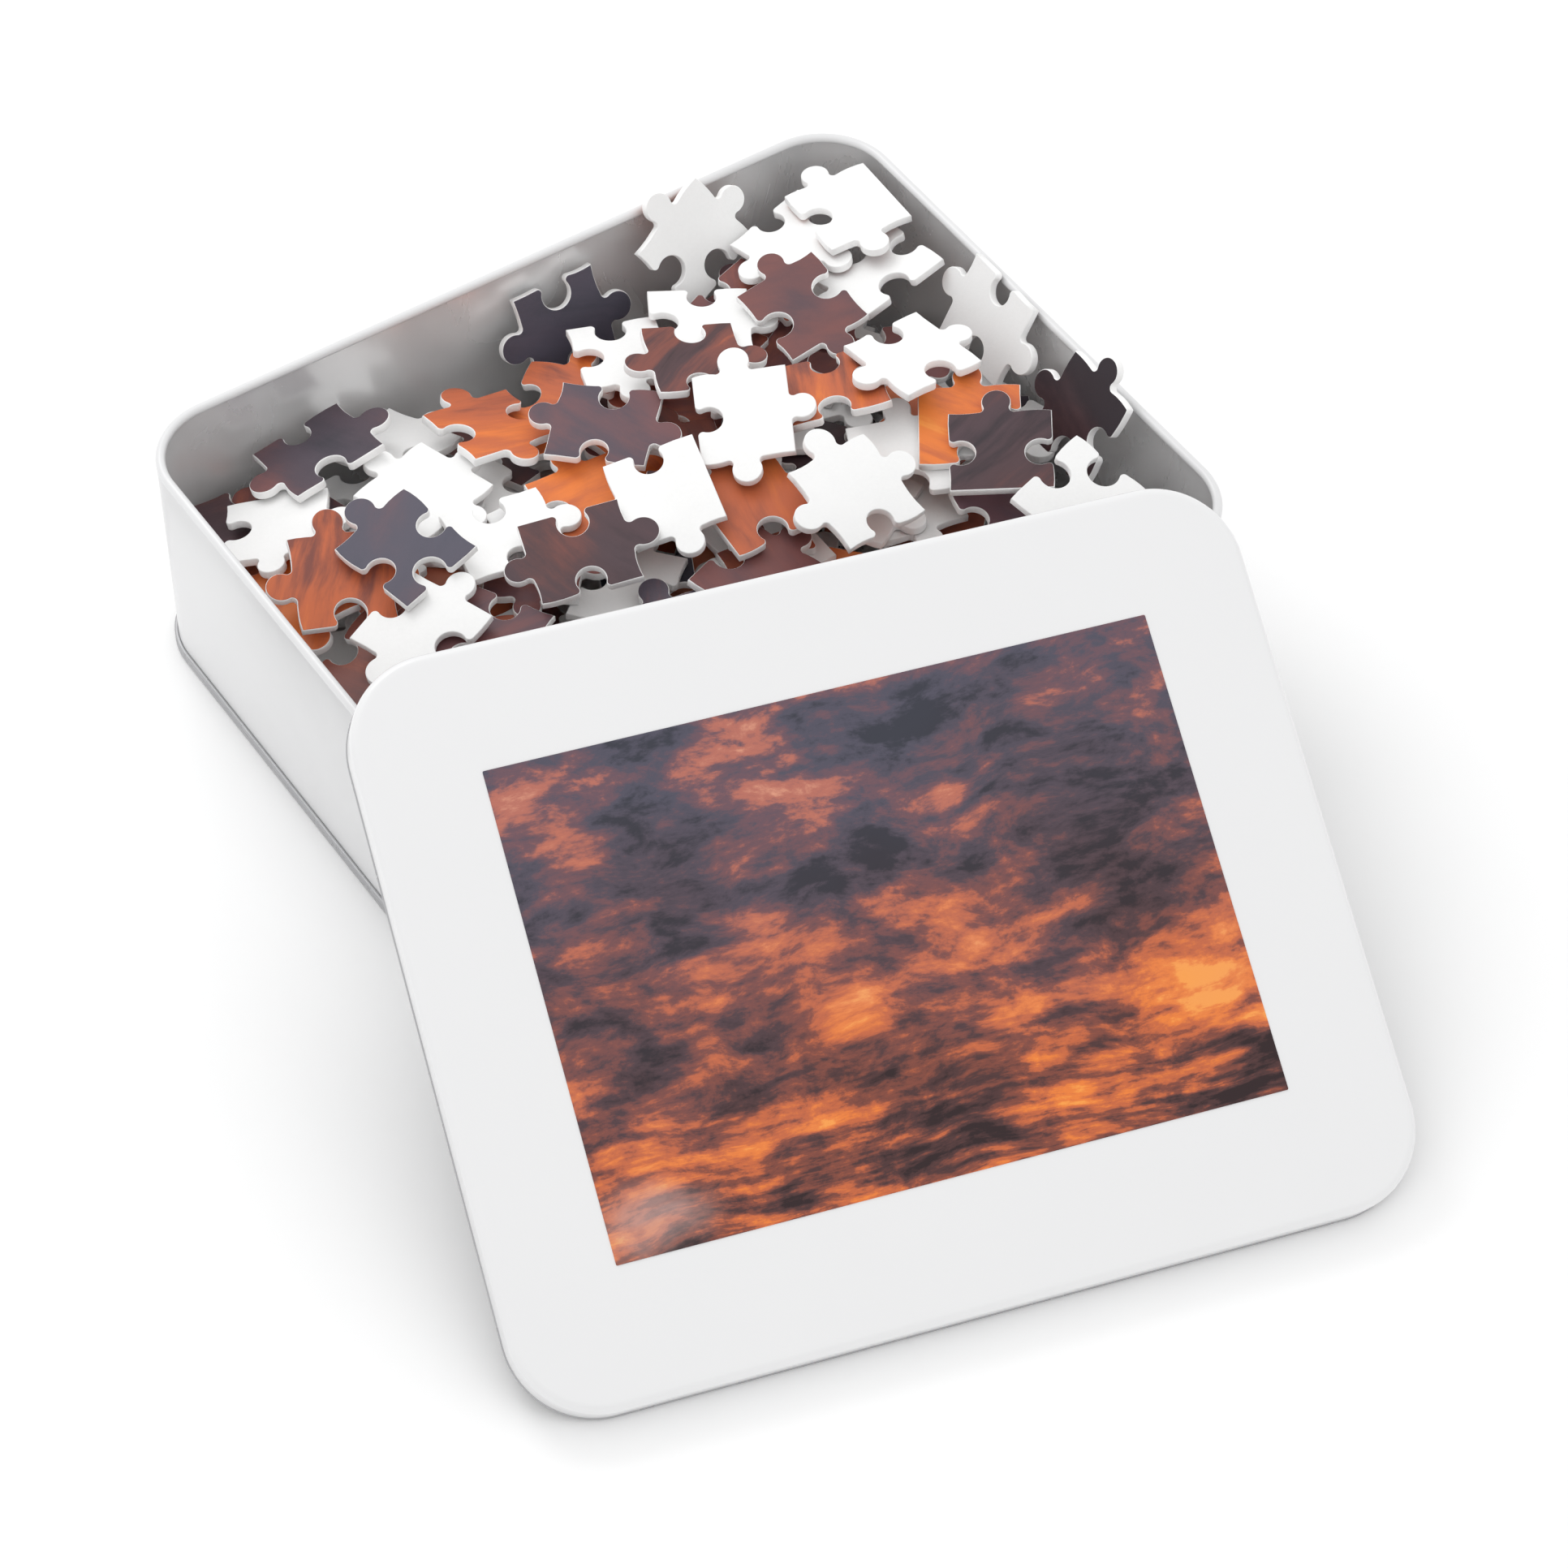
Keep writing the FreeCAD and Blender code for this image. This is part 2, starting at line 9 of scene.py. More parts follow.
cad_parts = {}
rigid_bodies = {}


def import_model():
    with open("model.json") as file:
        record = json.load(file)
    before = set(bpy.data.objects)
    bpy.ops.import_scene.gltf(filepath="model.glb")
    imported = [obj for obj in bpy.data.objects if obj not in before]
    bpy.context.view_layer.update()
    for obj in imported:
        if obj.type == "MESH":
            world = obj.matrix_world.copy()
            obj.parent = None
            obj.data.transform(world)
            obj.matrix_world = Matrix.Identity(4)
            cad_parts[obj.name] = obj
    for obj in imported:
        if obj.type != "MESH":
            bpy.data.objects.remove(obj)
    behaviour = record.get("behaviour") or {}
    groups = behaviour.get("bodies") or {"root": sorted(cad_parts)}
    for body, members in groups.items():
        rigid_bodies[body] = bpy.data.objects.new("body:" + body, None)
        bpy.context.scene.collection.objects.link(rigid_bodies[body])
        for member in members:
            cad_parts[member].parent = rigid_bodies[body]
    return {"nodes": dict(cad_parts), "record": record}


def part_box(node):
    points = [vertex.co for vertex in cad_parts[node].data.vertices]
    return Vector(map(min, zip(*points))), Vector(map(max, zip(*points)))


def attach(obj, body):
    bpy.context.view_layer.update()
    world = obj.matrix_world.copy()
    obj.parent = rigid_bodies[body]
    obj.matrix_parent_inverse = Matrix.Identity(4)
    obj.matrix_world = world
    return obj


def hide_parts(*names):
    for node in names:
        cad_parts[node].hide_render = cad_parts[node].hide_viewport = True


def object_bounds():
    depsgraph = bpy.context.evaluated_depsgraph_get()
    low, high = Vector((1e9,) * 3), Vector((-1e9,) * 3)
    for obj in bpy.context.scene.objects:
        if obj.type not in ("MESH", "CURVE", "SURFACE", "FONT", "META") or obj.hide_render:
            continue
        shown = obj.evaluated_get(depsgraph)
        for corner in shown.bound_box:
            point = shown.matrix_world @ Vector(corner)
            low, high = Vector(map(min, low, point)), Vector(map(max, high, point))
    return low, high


mm = 0.001  # sizes below are in millimetres, the scene is in metres

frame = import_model()
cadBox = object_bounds()
nodes = frame["nodes"]
scene = bpy.context.scene
scene.view_settings.view_transform = "Standard"  # keeps the white lacquer and the backdrop white
print("frame loaded:", len(nodes), "nodes")


# small helpers for building node trees

def addNode(tree, kind, x=0, y=0, **values):
    node = tree.nodes.new(kind)
    node.location = (x, y)
    for key, value in values.items():
        setattr(node, key, value)
    return node


def setInputs(node, **values):
    for key, value in values.items():
        node.inputs[key.replace("_", " ")].default_value = value
    return node


def addSocket(tree, name, direction, kind, value=None, low=None, high=None):
    socket = tree.interface.new_socket(name, in_out=direction, socket_type="NodeSocket" + kind)
    if value is not None:
        socket.default_value = value
    if low is not None:
        socket.min_value = low
    if high is not None:
        socket.max_value = high
    return socket


def mathNode(tree, operation, first, second=None, x=0, y=0, clamp=False):
    node = addNode(tree, "ShaderNodeMath", x, y, operation=operation, use_clamp=clamp)
    for index, value in enumerate((first, second)):
        if value is None:
            continue
        if isinstance(value, (int, float)):
            node.inputs[index].default_value = value
        else:
            tree.links.new(value, node.inputs[index])
    return node.outputs[0]


def noiseNode(tree, vector, scale, detail, roughness=0.5, distortion=0.0, x=0, y=0):
    node = addNode(tree, "ShaderNodeTexNoise", x, y)
    setInputs(node, Scale=scale, Detail=detail, Roughness=roughness, Distortion=distortion)
    tree.links.new(vector, node.inputs["Vector"])
    return node


def mappingNode(tree, vector, scale, x=0, y=0, rotation=(0, 0, 0), place=(0, 0, 0)):
    node = addNode(tree, "ShaderNodeMapping", x, y)
    node.inputs["Scale"].default_value = scale
    node.inputs["Rotation"].default_value = rotation
    node.inputs["Location"].default_value = place
    tree.links.new(vector, node.inputs["Vector"])
    return node.outputs["Vector"]


def mixColour(tree, factor, first, second, blend="MIX", x=0, y=0):
    node = addNode(tree, "ShaderNodeMix", x, y, data_type="RGBA", blend_type=blend)
    pairs = ((node.inputs[0], factor), (node.inputs[6], first), (node.inputs[7], second))
    for socket, value in pairs:
        if isinstance(value, bpy.types.NodeSocket):
            tree.links.new(value, socket)
        else:
            socket.default_value = value
    return node.outputs[2]


def rampNode(tree, factor, stops, x=0, y=0, interpolation="EASE"):
    node = addNode(tree, "ShaderNodeValToRGB", x, y)
    ramp = node.color_ramp
    ramp.interpolation = interpolation
    while len(ramp.elements) < len(stops):
        ramp.elements.new(0.5)
    for element, (place, colour) in zip(ramp.elements, stops):
        element.position = place
        element.color = (*colour, 1)
    tree.links.new(factor, node.inputs["Fac"])
    return node.outputs["Color"]


def newMaterial(name):
    material = bpy.data.materials.new(name)
    material.use_nodes = True
    tree = material.node_tree
    shader = tree.nodes["Principled BSDF"]
    return material, tree, shader


# shader node groups: each gives out only colours, masks or heights

def makeInkGroup():
    tree = bpy.data.node_groups.new("sunsetInk", "ShaderNodeTree")
    addSocket(tree, "Glow", "INPUT", "Float", 0.5)
    addSocket(tree, "Haze", "INPUT", "Float", 0.5)
    addSocket(tree, "Colour", "OUTPUT", "Color")
    inside = addNode(tree, "NodeGroupInput", -800, 0)
    out = addNode(tree, "NodeGroupOutput", 400, 0)
    warm = rampNode(tree, inside.outputs["Glow"], (
        (0.00, (0.030, 0.016, 0.018)), (0.22, (0.080, 0.036, 0.036)), (0.42, (0.22, 0.066, 0.046)),
        (0.62, (0.55, 0.135, 0.052)), (0.84, (0.80, 0.215, 0.046)), (1.00, (0.90, 0.34, 0.07))), -500, 200)
    cool = rampNode(tree, inside.outputs["Glow"], (
        (0.00, (0.042, 0.044, 0.060)), (0.26, (0.085, 0.080, 0.112)), (0.46, (0.15, 0.086, 0.108)),
        (0.70, (0.46, 0.155, 0.115)), (1.00, (0.72, 0.33, 0.22))), -500, -200)
    colour = mixColour(tree, inside.outputs["Haze"], warm, cool, x=0)
    tree.links.new(colour, out.inputs["Colour"])
    return tree


def makeCloudGroup():
    # tufts of cloud over a picture whose corner is at 0, 0; X runs along its long side
    tree = bpy.data.node_groups.new("cloudTufts", "ShaderNodeTree")
    addSocket(tree, "Vector", "INPUT", "Vector")
    addSocket(tree, "Tuft Scale", "INPUT", "Float", 7.0)
    addSocket(tree, "Broad", "OUTPUT", "Float")
    addSocket(tree, "Tufts", "OUTPUT", "Float")
    addSocket(tree, "Streaks", "OUTPUT", "Float")
    inside = addNode(tree, "NodeGroupInput", -1200, 0)
    out = addNode(tree, "NodeGroupOutput", 600, 0)
    place = inside.outputs["Vector"]
    drift = noiseNode(tree, place, 2.2, 3, x=-1000, y=200)
    push = addNode(tree, "ShaderNodeVectorMath", -800, 200, operation="MULTIPLY_ADD")
    tree.links.new(drift.outputs["Color"], push.inputs[0])
    push.inputs[1].default_value = (0.20, 0.12, 0.2)
    tree.links.new(place, push.inputs[2])
    drifted = push.outputs[0]
    broad = noiseNode(tree, mappingNode(tree, drifted, (1.0, 1.7, 1.0), -600, 300), 2.1, 4, 0.5, x=-400, y=300)
    tree.links.new(broad.outputs["Fac"], out.inputs["Broad"])
    tufts = addNode(tree, "ShaderNodeTexNoise", -400, 0, noise_type="FBM", normalize=True)
    setInputs(tufts, Detail=10.0, Roughness=0.64, Lacunarity=2.1, Distortion=0.12)
    tree.links.new(mappingNode(tree, drifted, (1.0, 2.1, 1.0), -600, 0), tufts.inputs["Vector"])
    tree.links.new(inside.outputs["Tuft Scale"], tufts.inputs["Scale"])
    tree.links.new(tufts.outputs["Fac"], out.inputs["Tufts"])
    slanted = mappingNode(tree, drifted, (1.2, 9.0, 1.0), -600, -300, (0, 0, math.radians(-24)))
    streaks = noiseNode(tree, slanted, 3.4, 7, 0.6, 0.2, x=-400, y=-300)
    tree.links.new(streaks.outputs["Fac"], out.inputs["Streaks"])
    return tree


def makeSheetWearGroup():
    # faint waves, handling smudges and grain of lacquered or bare tinplate
    tree = bpy.data.node_groups.new("sheetWear", "ShaderNodeTree")
    addSocket(tree, "Grain Scale", "INPUT", "Float", 900.0)
    addSocket(tree, "Smudge Scale", "INPUT", "Float", 22.0)
    addSocket(tree, "Smudges", "OUTPUT", "Float")
    addSocket(tree, "Height", "OUTPUT", "Float")
    inside = addNode(tree, "NodeGroupInput", -900, 0)
    out = addNode(tree, "NodeGroupOutput", 500, 0)
    coords = addNode(tree, "ShaderNodeTexCoord", -900, -200).outputs["Object"]
    smudge = noiseNode(tree, coords, 22, 5, 0.6, 0.4, x=-500, y=200)
    tree.links.new(inside.outputs["Smudge Scale"], smudge.inputs["Scale"])
    grain = noiseNode(tree, coords, 900, 3, 0.6, x=-500, y=-100)
    tree.links.new(inside.outputs["Grain Scale"], grain.inputs["Scale"])
    wave = noiseNode(tree, coords, 14, 2, x=-500, y=-350)
    raised = mathNode(tree, "MULTIPLY_ADD", grain.outputs["Fac"], 0.08, -200, -100)
    tree.nodes[-1].inputs[2].default_value = 0
    tree.links.new(wave.outputs["Fac"], tree.nodes[-1].inputs[2])
    tree.links.new(smudge.outputs["Fac"], out.inputs["Smudges"])
    tree.links.new(raised, out.inputs["Height"])
    return tree


inkGroup = makeInkGroup()
cloudGroup = makeCloudGroup()
wearGroup = makeSheetWearGroup()


def addGroup(tree, group, x=0, y=0):
    node = addNode(tree, "ShaderNodeGroup", x, y)
    node.node_tree = group
    return node


def addBump(tree, shader, height, strength, distance):
    bump = addNode(tree, "ShaderNodeBump", -200, -500)
    setInputs(bump, Strength=strength, Distance=distance)
    tree.links.new(height, bump.inputs["Height"])
    tree.links.new(bump.outputs["Normal"], shader.inputs["Normal"])


# materials

lacquer = {
    "white": (0.80, 0.801, 0.805, 1),
    "smudged": (0.78, 0.781, 0.787, 1),
    # the tin's white is painted shade: the same lacquer as the lid, set darker to stand in for the shade on the tin's
    # walls
    "tinWhitePaintedShade": (0.66, 0.661, 0.666, 1),
    "roughness": (0.26, 0.36),
    "coat": 0.35,
    "coatRoughness": 0.12,
    "steel": (0.93, 0.93, 0.93, 1),
    "steelDark": (0.80, 0.80, 0.805, 1),
    "steelRoughness": (0.22, 0.32),
    "steelMetal": 0.35,
    # bare steel of the base seam and the lid's rolled lip is painted shade: the same steel as inside the tin, set
    # much darker so that seam and lip read as dark lines
    "steelPaintedShade": (0.46, 0.46, 0.47, 1),
    "darkerSteelPaintedShade": (0.37, 0.37, 0.38, 1),
}


def makeTinplate(name, bareBelow=0.0, bareAbove=1.0, coating="white", light="steel", dark="steelDark"):
    # white lacquer, with bare steel where the sheet's own measure is outside the two limits
    material, tree, shader = newMaterial(name)
    wear = addGroup(tree, wearGroup, -1100, 0)
    along = addNode(tree, "ShaderNodeAttribute", -1100, 300, attribute_name="along").outputs["Fac"]
    below = mathNode(tree, "LESS_THAN", along, bareBelow, -900, 400)
    above = mathNode(tree, "GREATER_THAN", along, bareAbove, -900, 250)
    bare = mathNode(tree, "MAXIMUM", below, above, -700, 300)
    coat = mixColour(tree, wear.outputs["Smudges"], lacquer[coating], lacquer["smudged"], x=-600, y=100)
    coords = addNode(tree, "ShaderNodeTexCoord", -1300, -300).outputs["Object"]
    brushed = noiseNode(tree, mappingNode(tree, coords, (1, 1, 0.7), -1100, -300), 45, 5, 0.55, 0.6, x=-900, y=-300)
    steel = mixColour(tree, brushed.outputs["Fac"], lacquer[dark], lacquer[light], x=-600, y=-100)
    colour = mixColour(tree, bare, coat, steel, x=-300, y=150)
    tree.links.new(colour, shader.inputs["Base Color"])
    metal = mathNode(tree, "MULTIPLY", bare, lacquer["steelMetal"], -500, 300)
    tree.links.new(metal, shader.inputs["Metallic"])
    low, high = lacquer["roughness"]
    painted = mathNode(tree, "MULTIPLY_ADD", wear.outputs["Smudges"], high - low, -700, -50)
    tree.nodes[-1].inputs[2].default_value = low
    low, high = lacquer["steelRoughness"]
    scuffed = mathNode(tree, "MULTIPLY_ADD", brushed.outputs["Fac"], high - low, -700, -250)
    tree.nodes[-1].inputs[2].default_value = low
    rough = addNode(tree, "ShaderNodeMix", -300, -100)
    tree.links.new(bare, rough.inputs[0])
    tree.links.new(painted, rough.inputs[2])
    tree.links.new(scuffed, rough.inputs[3])
    tree.links.new(rough.outputs[0], shader.inputs["Roughness"])
    coated = mathNode(tree, "SUBTRACT", 1.0, bare, -300, -250)
    coated = mathNode(tree, "MULTIPLY", coated, lacquer["coat"], -150, -250)
    tree.links.new(coated, shader.inputs["Coat Weight"])
    setInputs(shader, Coat_Roughness=lacquer["coatRoughness"])
    addBump(tree, shader, wear.outputs["Height"], 0.12, 0.0006)
    return material


label = {
    "tuftScale": 6.0,
    "tuftContrast": 2.2,
    "broadContrast": 1.0,
    "footGlow": 0.42,      # glow at the foot of the picture and its change up to the top
    "glowSlope": -0.08,
    "roughness": (0.38, 0.5),
    "glowSpots": (  # place on the picture, size, strength
        (1.26, 0.29, 0.20, 0.46), (0.07, 0.92, 0.16, 0.34), (0.50, 0.90, 0.13, 0.20), (0.58, 0.42, 0.34, 0.20),
        (0.30, 0.12, 0.26, 0.20), (1.10, 0.90, 0.20, 0.12), (0.95, 0.10, 0.26, 0.18)),
    "darkSpots": (
        (0.25, 0.88, 0.11, 0.26), (0.84, 0.88, 0.20, 0.20), (0.66, 0.64, 0.17, 0.28), (0.28, 0.27, 0.24, 0.22),
        (1.38, 0.06, 0.12, 0.40), (0.14, 0.70, 0.20, 0.08)),
    "paleStrip": (0.08, 0.07, 0.11),  # place on the picture and size
    "pale": (0.50, 0.37, 0.35, 1),
}


def spotMask(tree, place, centre, size, x, y):
    near = addNode(tree, "ShaderNodeVectorMath", x, y, operation="DISTANCE")
    tree.links.new(mappingNode(tree, place, (1.0, 1.6, 1.0), x - 180, y), near.inputs[0])
    near.inputs[1].default_value = (centre[0], centre[1] * 1.6, 0)
    fade = addNode(tree, "ShaderNodeMapRange", x + 180, y, interpolation_type="SMOOTHERSTEP")
    fade.inputs["From Min"].default_value = size * 1.7
    fade.inputs["From Max"].default_value = 0.0
    tree.links.new(near.outputs["Value"], fade.inputs["Value"])
    return fade.outputs["Result"]


def makeLabelPrint():
    material, tree, shader = newMaterial("labelPrint")
    place = addNode(tree, "ShaderNodeUVMap", -2400, 0, uv_map="picture").outputs["UV"]
    clouds = addGroup(tree, cloudGroup, -2000, 0)
    setInputs(clouds, Tuft_Scale=label["tuftScale"])
    tree.links.new(place, clouds.inputs["Vector"])
    jitter = noiseNode(tree, place, 3.0, 5, 0.6, x=-2200, y=-400)
    bent = addNode(tree, "ShaderNodeVectorMath", -2000, -400, operation="MULTIPLY_ADD")
    tree.links.new(jitter.outputs["Color"], bent.inputs[0])
    bent.inputs[1].default_value = (0.22, 0.14, 0)
    centred = addNode(tree, "ShaderNodeVectorMath", -2200, -600, operation="SUBTRACT")
    tree.links.new(place, centred.inputs[0])
    centred.inputs[1].default_value = (0.11, 0.07, 0)
    tree.links.new(centred.outputs[0], bent.inputs[2])
    split = addNode(tree, "ShaderNodeSeparateXYZ", -2000, 300)
    tree.links.new(place, split.inputs[0])
    height = split.outputs["Y"]
    # warm glow grows towards the foot of the picture
    glow = mathNode(tree, "MULTIPLY_ADD", height, label["glowSlope"], -1600, 300)
    tree.nodes[-1].inputs[2].default_value = label["footGlow"]
    tuft = mathNode(tree, "SUBTRACT", clouds.outputs["Tufts"], 0.5, -1600, 100)
    tuft = mathNode(tree, "MULTIPLY", tuft, label["tuftContrast"], -1450, 100)
    glow = mathNode(tree, "ADD", glow, tuft, -1300, 200)
    broad = mathNode(tree, "SUBTRACT", clouds.outputs["Broad"], 0.5, -1600, 0)
    broad = mathNode(tree, "MULTIPLY", broad, label["broadContrast"], -1450, 0)
    glow = mathNode(tree, "ADD", glow, broad, -1150, 200)
    # long slanting streaks low in the picture
    low = mathNode(tree, "SUBTRACT", 0.45, height, -1600, -150, clamp=True)
    streak = mathNode(tree, "SUBTRACT", clouds.outputs["Streaks"], 0.5, -1600, -250)
    streak = mathNode(tree, "MULTIPLY", streak, 5.0, -1450, -250)
    streak = mathNode(tree, "MULTIPLY", streak, low, -1300, -200)
    glow = mathNode(tree, "ADD", glow, streak, -1000, 100)
    for index, (x, y, size, strength) in enumerate(label["glowSpots"]):
        mask = spotMask(tree, bent.outputs[0], (x, y), size, -1600, -500 - 180 * index)
        glow = mathNode(tree, "ADD", glow, mathNode(tree, "MULTIPLY", mask, strength, -1200, -500), -800, 0)
    for index, (x, y, size, strength) in enumerate(label["darkSpots"]):
        mask = spotMask(tree, bent.outputs[0], (x, y), size, -1600, -1300 - 180 * index)
        glow = mathNode(tree, "SUBTRACT", glow, mathNode(tree, "MULTIPLY", mask, strength, -1200, -900), -700, 0)
    # the upper half is cooler: pink and slate rather than rust
    haze = mathNode(tree, "MULTIPLY_ADD", height, 1.35, -600, -200)
    tree.nodes[-1].inputs[2].default_value = -0.22
    haze = mathNode(tree, "ADD", haze, broad, -450, -200, clamp=True)
    ink = addGroup(tree, inkGroup, -300, 100)
    tree.links.new(glow, ink.inputs["Glow"])
    tree.links.new(haze, ink.inputs["Haze"])
    x, y, size = label["paleStrip"]
    strip = spotMask(tree, bent.outputs[0], (x, y), size, -600, 500)
    strip = mathNode(tree, "MULTIPLY", strip, clouds.outputs["Tufts"], -350, 400)
    colour = mixColour(tree, strip, ink.outputs["Colour"], label["pale"], x=-100, y=300)
    tree.links.new(colour, shader.inputs["Base Color"])
    low, high = label["roughness"]
    rough = mathNode(tree, "MULTIPLY_ADD", clouds.outputs["Tufts"], high - low, -300, -100)
    tree.nodes[-1].inputs[2].default_value = low
    tree.links.new(rough, shader.inputs["Roughness"])
    coords = addNode(tree, "ShaderNodeTexCoord", -900, -500).outputs["Object"]
    paper = noiseNode(tree, coords, 1400, 3, 0.6, x=-600, y=-500)
    setInputs(shader, Specular_IOR_Level=0.22)
    addBump(tree, shader, paper.outputs["Fac"], 0.08, 0.0002)
    return material


board = {
    "back": (0.93, 0.93, 0.925, 1),
    "backShade": (0.87, 0.87, 0.865, 1),
    "edge": (0.97, 0.965, 0.96, 1),
    "edgeShade": (0.89, 0.885, 0.88, 1),
    "printRoughness": 0.36,
    "backFibres": (1500, 0.00012),  # scale and depth
    "edgeFibres": (2600, 0.0003),
    "bevel": 0.28,
    "backBevel": 0.16,
}


def makePiecePrint():
    material, tree, shader = newMaterial("piecePrint")
    place = addNode(tree, "ShaderNodeUVMap", -1600, 0, uv_map="picture").outputs["UV"]
    tone = addNode(tree, "ShaderNodeAttribute", -1600, 300, attribute_name="tone")
    split = addNode(tree, "ShaderNodeSeparateColor", -1400, 300)
    tree.links.new(tone.outputs["Color"], split.inputs[0])
    clouds = addGroup(tree, cloudGroup, -1300, 0)
    setInputs(clouds, Tuft_Scale=5.0)
    tree.links.new(place, clouds.inputs["Vector"])
    tuft = mathNode(tree, "SUBTRACT", clouds.outputs["Tufts"], 0.5, -1000, 0)
    tuft = mathNode(tree, "MULTIPLY", tuft, 0.35, -850, 0)
    streak = mathNode(tree, "SUBTRACT", clouds.outputs["Streaks"], 0.5, -1000, -200)
    streak = mathNode(tree, "MULTIPLY", streak, split.outputs["Blue"], -850, -200)
    broad = mathNode(tree, "SUBTRACT", clouds.outputs["Broad"], 0.5, -1000, -350)
    broad = mathNode(tree, "MULTIPLY", broad, 0.8, -850, -350)
    glow = mathNode(tree, "ADD", split.outputs["Red"], tuft, -700, 100)
    glow = mathNode(tree, "ADD", glow, streak, -550, 100)
    glow = mathNode(tree, "ADD", glow, broad, -400, 100)
    haze = mathNode(tree, "SUBTRACT", split.outputs["Green"], broad, -550, -100, clamp=True)
    ink = addGroup(tree, inkGroup, -250, 100)
    tree.links.new(glow, ink.inputs["Glow"])
    tree.links.new(haze, ink.inputs["Haze"])
    tree.links.new(ink.outputs["Colour"], shader.inputs["Base Color"])
    coords = addNode(tree, "ShaderNodeTexCoord", -900, -600).outputs["Object"]
    linen = noiseNode(tree, coords, 2200, 3, 0.6, x=-650, y=-600)
    rough = mathNode(tree, "MULTIPLY_ADD", linen.outputs["Fac"], 0.12, -400, -400)
    tree.nodes[-1].inputs[2].default_value = board["printRoughness"]
    tree.links.new(rough, shader.inputs["Roughness"])
    setInputs(shader, Specular_IOR_Level=0.3)
    addBump(tree, shader, linen.outputs["Fac"], 0.10, 0.0002)
    return material


def makeBoard(name, light, dark, fibreSize):
    scale, depth = fibreSize
    material, tree, shader = newMaterial(name)
    coords = addNode(tree, "ShaderNodeTexCoord", -900, 0).outputs["Object"]
    fibres = noiseNode(tree, coords, scale, 6, 0.65, 0.5, x=-700, y=100)
    mottle = noiseNode(tree, coords, 120, 4, 0.55, x=-700, y=-150)
    shade = mathNode(tree, "MULTIPLY", fibres.outputs["Fac"], mottle.outputs["Fac"], -450, 0)
    shade = mathNode(tree, "MULTIPLY", shade, 1.8, -300, 0, clamp=True)
    colour = mixColour(tree, shade, light, dark, x=-200, y=100)
    tree.links.new(colour, shader.inputs["Base Color"])
    rough = mathNode(tree, "MULTIPLY_ADD", fibres.outputs["Fac"], 0.2, -300, -200)
    tree.nodes[-1].inputs[2].default_value = 0.58
    tree.links.new(rough, shader.inputs["Roughness"])
    addBump(tree, shader, fibres.outputs["Fac"], 0.3, depth)
    return material


printMaterial = makePiecePrint()
backMaterial = makeBoard("pieceBack", board["back"], board["backShade"], board["backFibres"])
edgeMaterial = makeBoard("pieceEdge", board["edge"], board["edgeShade"], board["edgeFibres"])
labelMaterial = makeLabelPrint()
print("materials built")


# geometry nodes: a sheet section swept round a rounded rectangle, with a panel across it

